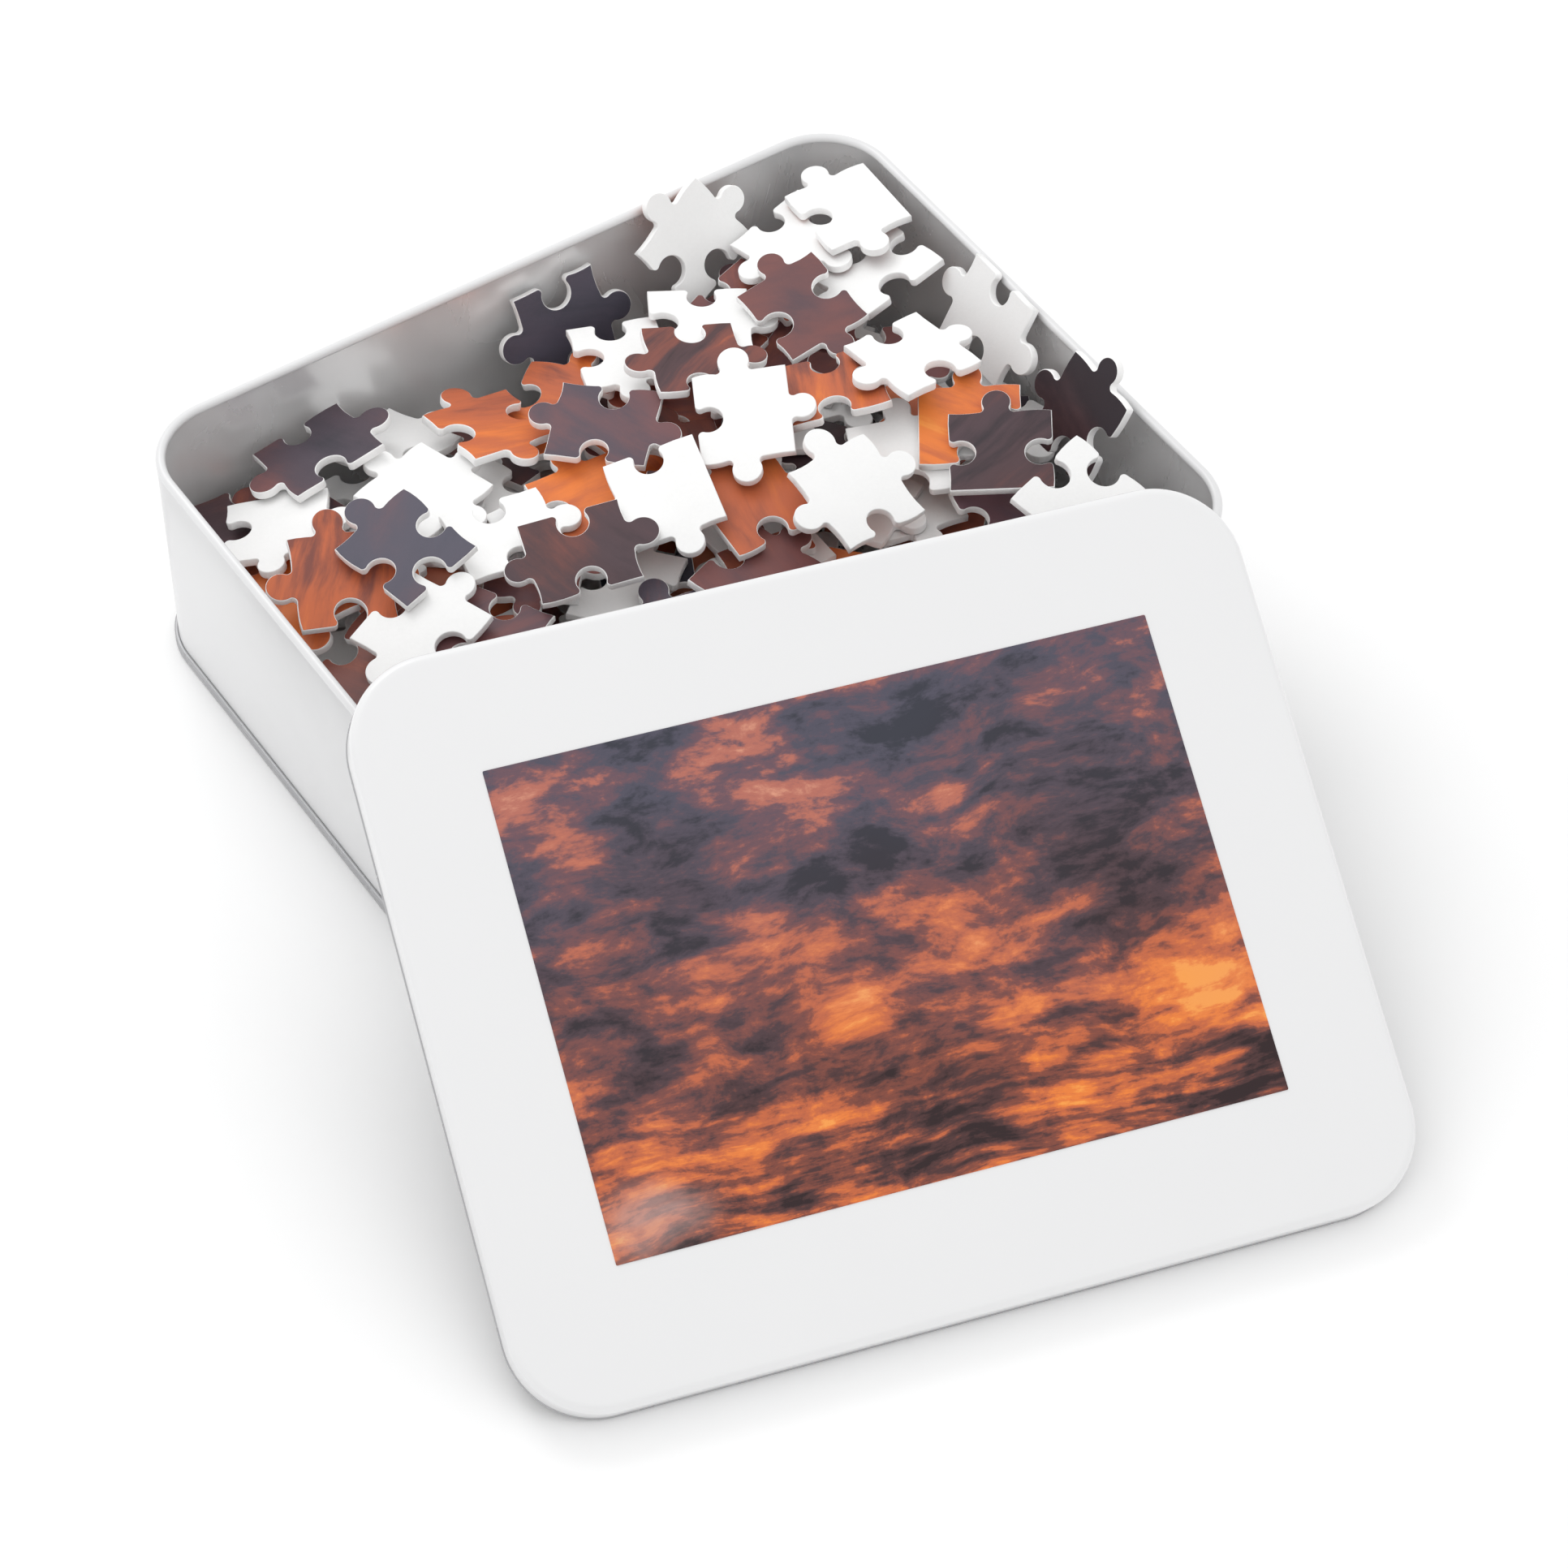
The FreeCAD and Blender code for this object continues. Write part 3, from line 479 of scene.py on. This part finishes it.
def makePanTree():
    tree = bpy.data.node_groups.new("pressedPan", "GeometryNodeTree")
    for name, kind, value in (("Length", "Float", 0.16), ("Depth", "Float", 0.13), ("Corner Radius", "Float", 0.015),
                              ("Corner Steps", "Int", 20), ("Section", "Object", None),
                              ("Has Panel", "Bool", True), ("Panel Inset", "Float", 0.003),
                              ("Panel Top", "Float", 0.008), ("Panel Under", "Float", 0.0076),
                              ("Material", "Material", None)):
        addSocket(tree, name, "INPUT", kind, value)
    addSocket(tree, "Geometry", "OUTPUT", "Geometry")
    link = tree.links.new
    inside = addNode(tree, "NodeGroupInput", -1400, 0)
    out = addNode(tree, "NodeGroupOutput", 1200, 0)

    def roundedPath(length, depth, radius, x, y):
        box = addNode(tree, "GeometryNodeCurvePrimitiveQuadrilateral", x, y)
        link(length, box.inputs["Width"])
        link(depth, box.inputs["Height"])
        fillet = addNode(tree, "GeometryNodeFilletCurve", x + 200, y, mode="POLY")
        link(box.outputs[0], fillet.inputs["Curve"])
        link(inside.outputs["Corner Steps"], fillet.inputs["Count"])
        link(radius, fillet.inputs["Radius"])
        return fillet.outputs[0]

    path = roundedPath(inside.outputs["Length"], inside.outputs["Depth"], inside.outputs["Corner Radius"], -1100, 300)
    upright = addNode(tree, "GeometryNodeSetCurveNormal", -700, 300, mode="Z_UP")
    link(path, upright.inputs["Curve"])
    info = addNode(tree, "GeometryNodeObjectInfo", -1100, 0)
    link(inside.outputs["Section"], info.inputs["Object"])
    measure = addNode(tree, "GeometryNodeSplineParameter", -1100, -250)
    keep = addNode(tree, "GeometryNodeCaptureAttribute", -900, 0)
    keep.capture_items.new("FLOAT", "along")
    link(info.outputs["Geometry"], keep.inputs["Geometry"])
    link(measure.outputs["Factor"], keep.inputs["along"])
    sweep = addNode(tree, "GeometryNodeCurveToMesh", -500, 200)
    link(upright.outputs[0], sweep.inputs["Curve"])
    link(keep.outputs["Geometry"], sweep.inputs["Profile Curve"])
    store = addNode(tree, "GeometryNodeStoreNamedAttribute", -300, 200, data_type="FLOAT", domain="POINT")
    store.inputs["Name"].default_value = "along"
    link(sweep.outputs[0], store.inputs["Geometry"])
    link(keep.outputs["along"], store.inputs["Value"])

    def shrink(socket, times, x, y):
        node = addNode(tree, "ShaderNodeMath", x, y, operation="MULTIPLY_ADD")
        link(inside.outputs["Panel Inset"], node.inputs[0])
        node.inputs[1].default_value = -times
        link(socket, node.inputs[2])
        return node.outputs[0]

    innerLength = shrink(inside.outputs["Length"], 2, -1100, -500)
    innerDepth = shrink(inside.outputs["Depth"], 2, -1100, -650)
    innerRadius = shrink(inside.outputs["Corner Radius"], 1, -1100, -800)
    inner = roundedPath(innerLength, innerDepth, innerRadius, -800, -600)
    sides = []
    for name, along, y in (("Panel Top", 0.0, -400), ("Panel Under", 1.0, -800)):
        fill = addNode(tree, "GeometryNodeFillCurve", -400, y, mode="NGONS")
        link(inner, fill.inputs["Curve"])
        height = addNode(tree, "ShaderNodeCombineXYZ", -400, y - 150)
        link(inside.outputs[name], height.inputs["Z"])
        lift = addNode(tree, "GeometryNodeSetPosition", -200, y)
        link(fill.outputs[0], lift.inputs["Geometry"])
        link(height.outputs[0], lift.inputs["Offset"])
        mark = addNode(tree, "GeometryNodeStoreNamedAttribute", 0, y, data_type="FLOAT", domain="POINT")
        mark.inputs["Name"].default_value = "along"
        mark.inputs["Value"].default_value = along
        link(lift.outputs[0], mark.inputs["Geometry"])
        sides.append(mark.outputs[0])
    flip = addNode(tree, "GeometryNodeFlipFaces", 200, -800)
    link(sides[1], flip.inputs["Mesh"])
    panels = addNode(tree, "GeometryNodeJoinGeometry", 400, -500)
    link(sides[0], panels.inputs[0])
    link(flip.outputs[0], panels.inputs[0])
    choose = addNode(tree, "GeometryNodeSwitch", 550, -300, input_type="GEOMETRY")
    link(inside.outputs["Has Panel"], choose.inputs["Switch"])
    link(panels.outputs[0], choose.inputs["True"])
    join = addNode(tree, "GeometryNodeJoinGeometry", 700, 100)
    link(store.outputs[0], join.inputs[0])
    link(choose.outputs[0], join.inputs[0])
    weld = addNode(tree, "GeometryNodeMergeByDistance", 820, 100)
    weld.inputs["Distance"].default_value = 0.03 * mm
    link(join.outputs[0], weld.inputs["Geometry"])
    realize = addNode(tree, "GeometryNodeRealizeInstances", 940, 100)
    link(weld.outputs[0], realize.inputs[0])
    paint = addNode(tree, "GeometryNodeSetMaterial", 1060, 100)
    link(realize.outputs[0], paint.inputs["Geometry"])
    link(inside.outputs["Material"], paint.inputs["Material"])
    link(paint.outputs[0], out.inputs["Geometry"])
    return tree


panTree = makePanTree()


def arc(x, y, radius, start, end, steps):
    turn = [math.radians(start + (end - start) * step / steps) for step in range(steps + 1)]
    return [(x + radius * math.cos(angle), y + radius * math.sin(angle)) for angle in turn]


def lengthsAlong(points):
    total, lengths = 0.0, [0.0]
    for first, second in zip(points, points[1:]):
        total += math.dist(first, second)
        lengths.append(total)
    return [length / total for length in lengths]


def sectionCurve(name, points, closed):
    # points are outwards and upwards, in millimetres, with the metal on the right of the way round
    curve = bpy.data.curves.new(name, "CURVE")
    curve.dimensions = "3D"
    spline = curve.splines.new("POLY")
    spline.points.add(len(points) - 1)
    for point, (outward, up) in zip(spline.points, points):
        point.co = (outward * mm, -up * mm, 0, 1)
    spline.use_cyclic_u = closed
    section = bpy.data.objects.new(name, curve)
    scene.collection.objects.link(section)
    return section


def growFromTree(name, tree, **values):
    start = bpy.data.objects.new(name + "Seed", bpy.data.meshes.new(name + "Seed"))
    scene.collection.objects.link(start)
    modifier = start.modifiers.new("grow", "NODES")
    modifier.node_group = tree
    sockets = {item.name: item.identifier for item in tree.interface.items_tree if item.in_out == "INPUT"}
    for key, value in values.items():
        modifier[sockets[key.replace("_", " ")]] = value
    bpy.context.view_layer.update()
    depsgraph = bpy.context.evaluated_depsgraph_get()
    mesh = bpy.data.meshes.new_from_object(start.evaluated_get(depsgraph), depsgraph=depsgraph)
    mesh.name = name
    bpy.data.objects.remove(start)
    piece = bpy.data.objects.new(name, mesh)
    scene.collection.objects.link(piece)
    return piece


def smoothBy(mesh, degrees):
    for face in mesh.polygons:
        face.use_smooth = True
    mesh.set_sharp_from_angle(angle=math.radians(degrees))


# the tin: wall with its rolled rim, and the seamed bottom

tin = {
    "sheet": 0.5,
    "cornerRadius": 15.3,
    "rimRadius": 0.95,
    "rimProud": 0.1,
    "baseRise": 0.8,
    "seamReach": 0.8,
    "seamFoot": 1.4,
    "seamHeight": 2.4,
    "seamRound": 0.35,
    "seamGroove": 0.12,
    "cornerSteps": 24,
    "panelInset": 6.0,
}
wallLow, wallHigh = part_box("tin_wall")
tinLength = (wallHigh.x - wallLow.x) / mm - 2 * tin["rimProud"]
tinDepth = (wallHigh.y - wallLow.y) / mm - 2 * tin["rimProud"]
tinHeight = wallHigh.z / mm
wallFoot = wallLow.z / mm

rimX, rimY = tin["rimProud"] - tin["rimRadius"], tinHeight - tin["rimRadius"]
rimIn = -math.degrees(math.acos((-tin["sheet"] - rimX) / tin["rimRadius"]))
rimOut = -math.degrees(math.acos(-rimX / tin["rimRadius"]))
wallSection = [(-tin["sheet"], wallFoot), (-tin["sheet"], wallFoot + 3)]
insideSteel = len(wallSection)
wallSection += arc(rimX, rimY, tin["rimRadius"], 360 + rimIn, rimOut, 28)
wallSection += [(0, wallFoot + 3), (0, wallFoot)]
wallShares = lengthsAlong(wallSection)
# the tin's outer lacquer takes the darkened white, painted shade for its walls
wallMaterial = makeTinplate("tinLacquerAndSteel", bareBelow=wallShares[insideSteel] + 0.004, coating="tinWhitePaintedShade")
tinWall = growFromTree(
    "tinWall", panTree, Length=tinLength * mm, Depth=tinDepth * mm, Corner_Radius=tin["cornerRadius"] * mm,
    Corner_Steps=tin["cornerSteps"], Section=sectionCurve("wallSection", wallSection, True), Has_Panel=False,
    Material=wallMaterial)

seamOut, seamTop, seamRound = tin["seamReach"], tin["seamHeight"], tin["seamRound"]
seamSection = [(-tin["panelInset"], wallFoot), (0.0, wallFoot), (0.0, seamTop - 0.2)]
seamSection += arc(seamRound - 0.1, seamTop - 0.25, 0.25, 180, 90, 5)[1:]
seamSection += arc(seamOut - seamRound, seamTop - seamRound, seamRound, 90, 0, 6)
grooveOut = seamOut - tin["seamGroove"]
seamSection += [(grooveOut, seamTop * 0.62), (grooveOut, seamTop * 0.5), (seamOut, seamTop * 0.42)]
seamSection += arc(seamOut - seamRound, seamRound, seamRound, 0, -90, 6)
seamSection += [(-tin["seamFoot"], 0.0), (-tin["seamFoot"], tin["baseRise"]), (-tin["panelInset"], tin["baseRise"])]
seamShares = lengthsAlong(seamSection)
# all the bare steel of the base, the seam included, takes the darkened steel: painted shade
baseMaterial = makeTinplate("seamSteel", bareBelow=seamShares[1], bareAbove=seamShares[3], light="steelPaintedShade",
                            dark="darkerSteelPaintedShade")
tinBase = growFromTree(
    "tinBase", panTree, Length=tinLength * mm, Depth=tinDepth * mm, Corner_Radius=tin["cornerRadius"] * mm,
    Corner_Steps=tin["cornerSteps"], Section=sectionCurve("seamSection", seamSection, False),
    Panel_Inset=tin["panelInset"] * mm, Panel_Top=wallFoot * mm, Panel_Under=tin["baseRise"] * mm,
    Material=baseMaterial)
for piece, node in ((tinWall, "tin_wall"), (tinBase, "tin_base")):
    smoothBy(piece.data, 40)
    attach(piece, "tin")
    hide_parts(node)
print("tin swept")


# the lid, leaning: its slope is read from the printed sheet on its panel

lid = {
    "sheet": 0.4,
    "edgeRadius": 1.7,
    "lipRadius": 0.45,
    "cornerSteps": 26,
    "panelInset": 3.2,
    "labelSheet": 0.15,
    "labelCorner": 0.25,
}


def uniqueCorners(mesh):
    return {tuple(round(value, 7) for value in vertex.co) for vertex in mesh.vertices}


def flatSheetFrame(mesh):
    # a thin box's long way, short way and upward normal
    corners = [Vector(corner) for corner in sorted(uniqueCorners(mesh))]
    ways = sorted((corner - corners[0] for corner in corners[1:]), key=lambda way: way.length)
    thick, short = ways[0].normalized(), ways[1].normalized()
    level = [way for way in ways if abs(way.normalized().dot(thick)) < 1e-4]
    square = [way for way in level if abs(way.normalized().dot(short)) < 1e-4]
    along = square[-1].normalized()
    along = along if along.x > 0 else -along
    up = thick if thick.z > 0 else -thick
    return along, up.cross(along), up


def boxIn(mesh, matrix):
    inverse = matrix.inverted()
    points = [inverse @ vertex.co for vertex in mesh.vertices]
    low = Vector(min(point[axis] for point in points) for axis in range(3))
    high = Vector(max(point[axis] for point in points) for axis in range(3))
    return low, high


lidAlong, lidAcross, lidUp = flatSheetFrame(nodes["lid_label"].data)
lidTurn = Matrix((lidAlong, lidAcross, lidUp)).transposed().to_4x4()
panLow, panHigh = boxIn(nodes["lid_pan"].data, lidTurn)
lidCentre = (panLow + panHigh) / 2
lidMatrix = lidTurn.copy()
lidMatrix.translation = lidTurn @ Vector((lidCentre.x, lidCentre.y, panLow.z + lid["lipRadius"] * mm))
panLow, panHigh = boxIn(nodes["lid_pan"].data, lidMatrix)
lidSide = -lid["sheet"] / 2 + lid["lipRadius"]  # the rolled lip stands out past the skirt by this
lidLength = (panHigh.x - panLow.x) / mm - 2 * lidSide
lidDepth = (panHigh.y - panLow.y) / mm - 2 * lidSide
lidTop = panHigh.z / mm
lidRadius = tin["cornerRadius"] + (lidLength - tinLength) / 2

lipTurn = math.degrees(math.acos(lid["sheet"] / 2 / lid["lipRadius"]))
skirtEnd = lid["lipRadius"] * math.sin(math.radians(lipTurn))
lidSection = [(-lid["panelInset"], lidTop)]
lidSection += arc(-lid["edgeRadius"], lidTop - lid["edgeRadius"], lid["edgeRadius"], 90, 0, 12)
lidSection += [(0, skirtEnd + 1.0)]
lipStart = len(lidSection)
lidSection += arc(-lid["sheet"] / 2, 0, lid["lipRadius"], lipTurn, -180 - lipTurn, 18)
lidSection += [(-lid["sheet"], skirtEnd + 1.0)]
lidSection += arc(-lid["edgeRadius"], lidTop - lid["edgeRadius"], lid["edgeRadius"] - lid["sheet"], 0, 90, 8)
lidSection += [(-lid["panelInset"], lidTop - lid["sheet"])]
lidShares = lengthsAlong(lidSection)
# the lid's lip and underside take the darkened steel: painted shade
lidMaterial = makeTinplate("lidLacquerAndSteel", bareAbove=lidShares[lipStart] - 0.004, light="steelPaintedShade",
                           dark="darkerSteelPaintedShade")
lidPan = growFromTree(
    "lidPan", panTree, Length=lidLength * mm, Depth=lidDepth * mm, Corner_Radius=lidRadius * mm,
    Corner_Steps=lid["cornerSteps"], Section=sectionCurve("lidSection", lidSection, False),
    Panel_Inset=lid["panelInset"] * mm, Panel_Top=lidTop * mm, Panel_Under=(lidTop - lid["sheet"]) * mm,
    Material=lidMaterial)
lidPan.data.transform(lidMatrix)
smoothBy(lidPan.data, 40)
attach(lidPan, "lid")
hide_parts("lid_pan")

labelLow, labelHigh = boxIn(nodes["lid_label"].data, lidMatrix)
bm = bmesh.new()
bmesh.ops.create_cube(bm, size=1.0)
for vertex in bm.verts:
    for axis in range(3):
        vertex.co[axis] = labelHigh[axis] if vertex.co[axis] > 0 else labelLow[axis]
uprights = [edge for edge in bm.edges if abs(edge.verts[0].co.z - edge.verts[1].co.z) > 0.5 * lid["labelSheet"] * mm]
bmesh.ops.bevel(bm, geom=uprights, offset=lid["labelCorner"] * mm, segments=3, profile=0.5, affect="EDGES")
upperEdges = [edge for edge in bm.edges if all(vertex.co.z > labelHigh.z - 1e-7 for vertex in edge.verts)]
bmesh.ops.bevel(bm, geom=upperEdges, offset=0.05 * mm, segments=2, profile=0.5, affect="EDGES")
uv = bm.loops.layers.uv.new("picture")
labelTall = labelHigh.y - labelLow.y
for face in bm.faces:
    for loop in face.loops:
        loop[uv].uv = ((loop.vert.co.x - labelLow.x) / labelTall, (loop.vert.co.y - labelLow.y) / labelTall)
labelMesh = bpy.data.meshes.new("lidPicture")
bm.to_mesh(labelMesh)
bm.free()
labelMesh.transform(lidMatrix)
labelMesh.materials.append(labelMaterial)
lidPicture = bpy.data.objects.new("lidPicture", labelMesh)
scene.collection.objects.link(lidPicture)
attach(lidPicture, "lid")
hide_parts("lid_label")
print("lid swept and its picture laid on")


# the puzzle pieces: each keeps its outline, with pressed edges, a printed face and a white back

pieces = {
    "seed": 5,
    "flatness": 3.0,       # degrees within which outline points are joined
    "pictureScale": 9.0,  # picture units per metre of a piece
    "glow": (0.12, 0.85),  # range for pieces with no look of their own
    "haze": (0.0, 0.8),
    "streaks": (0.0, 0.6),
}
looks = {  # piece number: glow, haze, streaks
    1: (0.14, 0.9, 0.1), 4: (0.12, 0.2, 0.2), 5: (0.18, 0.3, 0.3), 6: (0.42, 0.1, 0.3), 7: (0.66, 0.1, 0.4),
    8: (0.42, 0.5, 0.4), 9: (0.78, 0.0, 0.4), 10: (0.72, 0.0, 0.6), 11: (0.34, 0.1, 0.3), 12: (0.28, 0.5, 0.2),
    13: (0.22, 0.1, 0.3), 14: (0.42, 0.4, 0.3), 15: (0.36, 0.5, 0.2), 16: (0.66, 0.0, 0.5), 17: (0.32, 0.95, 0.1),
    20: (0.60, 0.0, 0.7), 23: (0.58, 0.1, 0.5), 29: (0.66, 0.0, 0.3), 31: (0.72, 0.0, 0.6), 32: (0.30, 0.5, 0.2),
    34: (0.30, 0.9, 0.1), 35: (0.38, 0.6, 0.2), 36: (0.36, 0.1, 0.9), 38: (0.33, 0.4, 0.1), 39: (0.62, 0.0, 0.7),
    43: (0.26, 0.2, 0.3), 45: (0.20, 0.2, 0.6),
}
chance = random.Random(pieces["seed"])


def islandsOf(bm):
    seen, islands = set(), []
    for first in bm.faces:
        if first in seen:
            continue
        island, waiting = [], [first]
        seen.add(first)
        while waiting:
            face = waiting.pop()
            island.append(face)
            for edge in face.edges:
                for other in edge.link_faces:
                    if other not in seen:
                        seen.add(other)
                        waiting.append(other)
        islands.append(island)
    return islands


def dressPiece(node, name):
    bm = bmesh.new()
    bm.from_mesh(nodes[node].data)
    bmesh.ops.remove_doubles(bm, verts=bm.verts, dist=1e-6)
    bmesh.ops.dissolve_limit(bm, angle_limit=math.radians(pieces["flatness"]), verts=bm.verts, edges=bm.edges)
    uv = bm.loops.layers.uv.new("picture")
    toneLayer = bm.loops.layers.float_color.new("tone")
    sideLayer = bm.faces.layers.float_vector.new("face_up")
    front, back = [], []
    for island in islandsOf(bm):
        biggest = max(island, key=lambda face: face.calc_area())
        up = biggest.normal.copy()
        if (up.z > 0) != node.endswith("print_up"):
            up = -up
        middle = biggest.calc_center_median()
        turn = chance.uniform(0, 2 * math.pi)
        level = up.orthogonal().normalized()
        along = Matrix.Rotation(turn, 3, up) @ level
        across = up.cross(along)
        corner = Vector((chance.uniform(0, 9), chance.uniform(0, 9)))
        number = int(node[6:8]) if node.startswith("piece") else 0
        drawn = tuple(chance.uniform(*pieces[key]) for key in ("glow", "haze", "streaks"))
        glow, haze, streaks = looks.get(number, drawn)
        for face in island:
            face[sideLayer] = up
            for loop in face.loops:
                place = loop.vert.co - middle
                loop[uv].uv = corner + Vector((place.dot(along), place.dot(across))) * pieces["pictureScale"]
                loop[toneLayer] = (glow, haze, streaks, 1)
        for edge in {edge for face in island for edge in face.edges}:
            lifts = sorted(face.normal.dot(up) for face in edge.link_faces)
            if len(lifts) == 2 and lifts[1] > 0.9 and abs(lifts[0]) < 0.5:
                front.append(edge)
            elif len(lifts) == 2 and lifts[0] < -0.9 and abs(lifts[1]) < 0.5:
                back.append(edge)
    for edges, size, steps in ((front, board["bevel"], 3), (back, board["backBevel"], 2)):
        bmesh.ops.bevel(bm, geom=edges, offset=size * mm, segments=steps, profile=0.5, affect="EDGES",
                        clamp_overlap=True)
    for face in bm.faces:
        lift = face.normal.dot(face[sideLayer])
        face.material_index = 0 if lift > 0.8 else 1 if lift < -0.9 else 2
        face.smooth = abs(lift) < 0.995
    mesh = bpy.data.meshes.new(name)
    bm.to_mesh(mesh)
    bm.free()
    mesh.attributes.remove(mesh.attributes["face_up"])
    for material in (printMaterial, backMaterial, edgeMaterial):
        mesh.materials.append(material)
    dressed = bpy.data.objects.new(name, mesh)
    scene.collection.objects.link(dressed)
    return dressed


bodyOf = {node: body for body, members in frame["record"]["behaviour"]["bodies"].items() for node in members}
for node in sorted(nodes):
    if node.startswith(("piece", "buried")):
        dressed = dressPiece(node, "puzzle_" + node)
        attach(dressed, bodyOf[node])
        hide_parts(node)
print("puzzle pieces dressed")


# floor, light and camera

studio = {
    "floorSize": 6.0,
    "floor": (0.97, 0.97, 0.97, 1),
    "zenith": 1.06,
    "horizon": 0.94,
    "keyPlace": (-0.06, 0.36, 0.50),
    "keySize": 0.32,
    "keyPower": 0.7,
}
view = {
    "place": (-0.31978, -0.48759, 0.65288),
    "azimuth": -35.149,
    "elevation": 49.914,
    "roll": 1.092,
    "focalPixels": 5487.95,
    "framePixels": 1932,
}


def makeFloor():
    bm = bmesh.new()
    bmesh.ops.create_grid(bm, x_segments=12, y_segments=12, size=studio["floorSize"] / 2)
    mesh = bpy.data.meshes.new("floor")
    bm.to_mesh(mesh)
    bm.free()
    material, tree, shader = newMaterial("paleFloor")
    coords = addNode(tree, "ShaderNodeTexCoord", -700, 0).outputs["Object"]
    cloudy = noiseNode(tree, coords, 3.0, 3, x=-500)
    pale = tuple(value * 0.985 for value in studio["floor"][:3]) + (1,)
    tree.links.new(mixColour(tree, cloudy.outputs["Fac"], studio["floor"], pale, x=-250), shader.inputs["Base Color"])
    setInputs(shader, Roughness=0.9, Specular_IOR_Level=0.1)
    mesh.materials.append(material)
    floor = bpy.data.objects.new("floor", mesh)
    floor.location.z = cadBox[0][2]
    scene.collection.objects.link(floor)


def addSoftLight(name, place, size, power):
    light = bpy.data.lights.new(name, "AREA")
    light.shape = "DISK"
    light.size = size
    light.energy = power
    lamp = bpy.data.objects.new(name, light)
    lamp.location = place
    lamp.rotation_euler = (-Vector(place)).to_track_quat("-Z", "Y").to_euler()
    scene.collection.objects.link(lamp)


def setWorld():
    world = bpy.data.worlds.new("studio")
    world.use_nodes = True
    tree = world.node_tree
    # a white sky that is brightest overhead
    split = addNode(tree, "ShaderNodeSeparateXYZ", -700, 0)
    tree.links.new(addNode(tree, "ShaderNodeTexCoord", -900, 0).outputs["Generated"], split.inputs[0])
    shade = addNode(tree, "ShaderNodeMapRange", -500, 0, interpolation_type="SMOOTHSTEP")
    tree.links.new(split.outputs["Z"], shade.inputs["Value"])
    shade.inputs["To Min"].default_value = studio["horizon"]
    shade.inputs["To Max"].default_value = studio["zenith"]
    tree.links.new(shade.outputs["Result"], tree.nodes["Background"].inputs["Strength"])
    tree.nodes["Background"].inputs["Color"].default_value = (1, 1, 1, 1)
    scene.world = world


def addCamera():
    camera = bpy.data.cameras.new("camera")
    camera.sensor_width = 36
    camera.lens = 36 * view["focalPixels"] / view["framePixels"]
    camera.clip_start = 0.02
    holder = bpy.data.objects.new("camera", camera)
    holder.location = view["place"]
    tilt = Euler((math.radians(90 - view["elevation"]), 0, math.radians(view["azimuth"])), "XYZ").to_matrix()
    holder.rotation_euler = (tilt @ Matrix.Rotation(math.radians(view["roll"]), 3, "Z")).to_euler()
    scene.collection.objects.link(holder)
    scene.camera = holder


makeFloor()
setWorld()
addSoftLight("key", studio["keyPlace"], studio["keySize"], studio["keyPower"])
addCamera()
for section in [thing for thing in scene.objects if thing.name.endswith("Section")]:
    bpy.data.objects.remove(section)
print("stage set")
